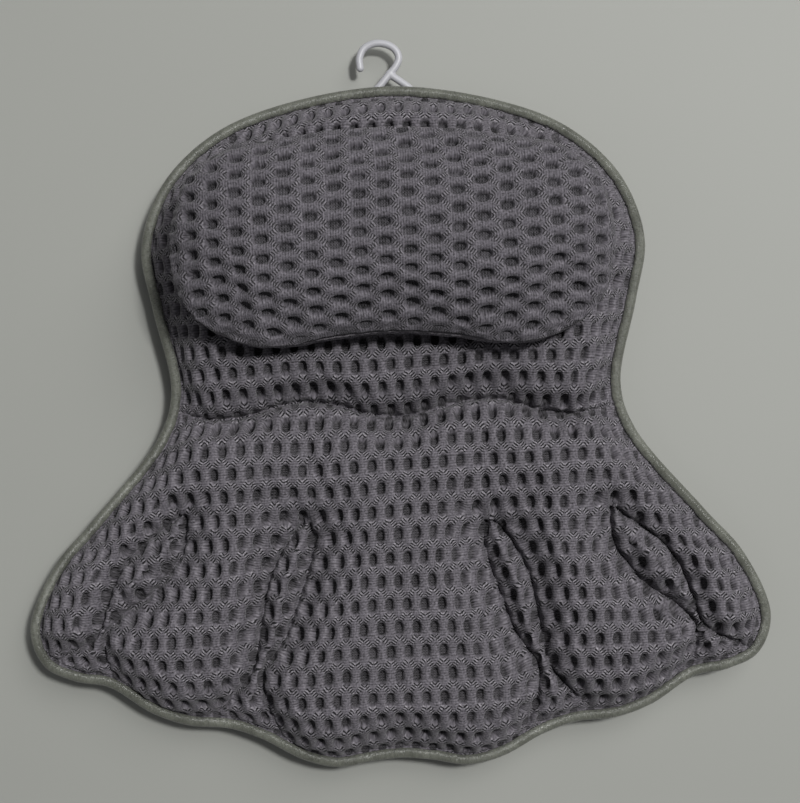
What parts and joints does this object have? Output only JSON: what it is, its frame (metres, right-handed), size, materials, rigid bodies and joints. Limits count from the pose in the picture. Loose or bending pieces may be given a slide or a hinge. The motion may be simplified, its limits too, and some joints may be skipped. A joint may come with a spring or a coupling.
{
  "type": "bath pillow",
  "caption": "Quilted air mesh bath pillow with a scalloped shoulder section, a kidney headrest, bound edge, hanging hook and suction cups.",
  "frame": {"origin": "middle of the base of the whole pillow's bounding box, on the plane of the suction cups' lips", "axes": "+Z out of the front of the pad, +Y from the shoulders to the hook, +X to the right seen from the front"},
  "size_m": [0.4294, 0.4234, 0.0922],
  "materials": {
    "air_mesh": "knitted spacer mesh with oval holes",
    "backing": "plain knitted mesh",
    "binding_tape": "soft sheen folded tape",
    "wadding": "polyester fibre",
    "webbing": "woven tape",
    "hook_plastic": "moulded, semi-gloss",
    "cup_pvc": "clear soft vinyl"
  },
  "bodies": {
    "shoulder_section": {"shoulder_front_cover": "air_mesh", "shoulder_wadding": "wadding", "shoulder_back_panel": "backing", "shoulder_binding": "binding_tape", "cup_strap_wing_left": "webbing", "cup_strap_wing_right": "webbing", "cup_strap_middle": "webbing"},
    "head_section": {"head_front_cover": "air_mesh", "head_wadding": "wadding", "head_back_panel": "backing", "head_binding": "binding_tape", "headrest_face": "air_mesh", "headrest_side_band": "air_mesh", "headrest_stuffing": "wadding", "hanging_loop": "webbing", "cup_strap_head_upper_left": "webbing", "cup_strap_head_upper_right": "webbing", "cup_strap_head_lower_left": "webbing", "cup_strap_head_lower_right": "webbing"},
    "hook": {"hook": "hook_plastic"},
    "cup_head_upper_left": {"suction_cup_head_upper_left": "cup_pvc"},
    "cup_head_upper_right": {"suction_cup_head_upper_right": "cup_pvc"},
    "cup_head_lower_left": {"suction_cup_head_lower_left": "cup_pvc"},
    "cup_head_lower_right": {"suction_cup_head_lower_right": "cup_pvc"},
    "cup_wing_left": {"suction_cup_wing_left": "cup_pvc"},
    "cup_wing_right": {"suction_cup_wing_right": "cup_pvc"},
    "cup_middle": {"suction_cup_middle": "cup_pvc"}
  },
  "joints": [
    {"name": "seam_fold", "type": "hinge", "parent": "shoulder_section", "child": "head_section", "pos_m": [0, -0.00419, 0.01905], "axis": [1, 0, 0], "range_deg": [-60, 45]},
    {"name": "hook_swing", "type": "hinge", "parent": "head_section", "child": "hook", "pos_m": [0, 0.17691, 0.0129], "axis": [1, 0, 0], "range_deg": [-175, 15]},
    {"name": "spin_head_upper_left", "type": "hinge", "parent": "head_section", "child": "cup_head_upper_left", "pos_m": [-0.06665, 0.12366, 0], "axis": [0, 0, 1], "continuous": true},
    {"name": "spin_head_upper_right", "type": "hinge", "parent": "head_section", "child": "cup_head_upper_right", "pos_m": [0.06665, 0.12366, 0], "axis": [0, 0, 1], "continuous": true},
    {"name": "spin_head_lower_left", "type": "hinge", "parent": "head_section", "child": "cup_head_lower_left", "pos_m": [-0.09245, 0.03479, 0], "axis": [0, 0, 1], "continuous": true},
    {"name": "spin_head_lower_right", "type": "hinge", "parent": "head_section", "child": "cup_head_lower_right", "pos_m": [0.09245, 0.03479, 0], "axis": [0, 0, 1], "continuous": true},
    {"name": "spin_wing_left", "type": "hinge", "parent": "shoulder_section", "child": "cup_wing_left", "pos_m": [-0.1419, -0.11334, 0], "axis": [0, 0, 1], "continuous": true},
    {"name": "spin_wing_right", "type": "hinge", "parent": "shoulder_section", "child": "cup_wing_right", "pos_m": [0.1419, -0.11334, 0], "axis": [0, 0, 1], "continuous": true},
    {"name": "spin_middle", "type": "hinge", "parent": "shoulder_section", "child": "cup_middle", "pos_m": [0, -0.14494, 0], "axis": [0, 0, 1], "continuous": true}
  ]
}
